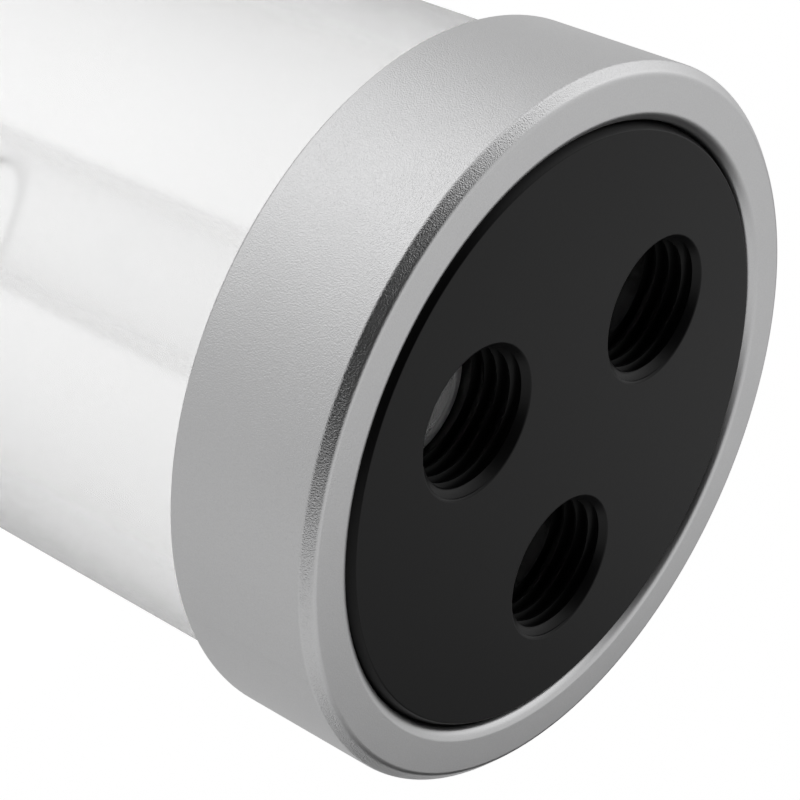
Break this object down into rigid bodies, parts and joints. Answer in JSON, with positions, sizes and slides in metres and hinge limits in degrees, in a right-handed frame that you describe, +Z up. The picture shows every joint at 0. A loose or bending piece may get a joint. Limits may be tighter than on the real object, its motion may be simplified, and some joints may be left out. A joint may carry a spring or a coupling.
{
  "type": "cooling reservoir",
  "caption": "Cylindrical coolant reservoir: clear tube, black threaded-port caps held by screwed metal rings, and an inner feed tube.",
  "frame": {"origin": "centre of the bottom ring's rim, on the surface that the tank stands on", "axes": "+Z up along the tube, towards the end with the inner tube; -Y from the axis towards the first port of each cap"},
  "size_m": [0.064, 0.064, 0.2],
  "materials": {
    "tank_acrylic": "milky clear acrylic, polished",
    "inner_acrylic": "clear acrylic tube",
    "ring_aluminium": "fine bead-blasted and clear anodised, with bright turned chamfers",
    "cap_acetal": "matte black acetal, turned",
    "gasket_silicone": "flat black silicone",
    "seal_rubber": "black nitrile cord"
  },
  "bodies": {
    "tank": {"tank_tube": "tank_acrylic"},
    "top_cap": {"top_cap": "cap_acetal", "top_gasket": "gasket_silicone", "top_bore_seal": "seal_rubber", "inner_tube": "inner_acrylic", "inner_tube_seal": "seal_rubber"},
    "top_ring": {"top_ring": "ring_aluminium"},
    "bottom_cap": {"bottom_cap": "cap_acetal", "bottom_gasket": "gasket_silicone", "bottom_bore_seal": "seal_rubber"},
    "bottom_ring": {"bottom_ring": "ring_aluminium"}
  },
  "joints": [
    {"name": "top_cap_lift", "type": "slide", "parent": "tank", "child": "top_cap", "axis": [0, 0, 1], "range_m": [0, 0.00675]},
    {"name": "top_ring_turn", "type": "hinge", "parent": "top_cap", "child": "top_ring", "pos_m": [0, 0, 0.2], "axis": [0, 0, 1], "range_deg": [0, 1620]},
    {"name": "bottom_cap_drop", "type": "slide", "parent": "tank", "child": "bottom_cap", "axis": [0, 0, -1], "range_m": [0, 0.00675]},
    {"name": "bottom_ring_turn", "type": "hinge", "parent": "bottom_cap", "child": "bottom_ring", "pos_m": [0, 0, 0], "axis": [0, 0, -1], "range_deg": [0, 1620]}
  ],
  "couplings": [
    {"joint": "top_cap_lift", "follows": "top_ring_turn", "m_per_rad": 0.0002387},
    {"joint": "bottom_cap_drop", "follows": "bottom_ring_turn", "m_per_rad": 0.0002387}
  ]
}
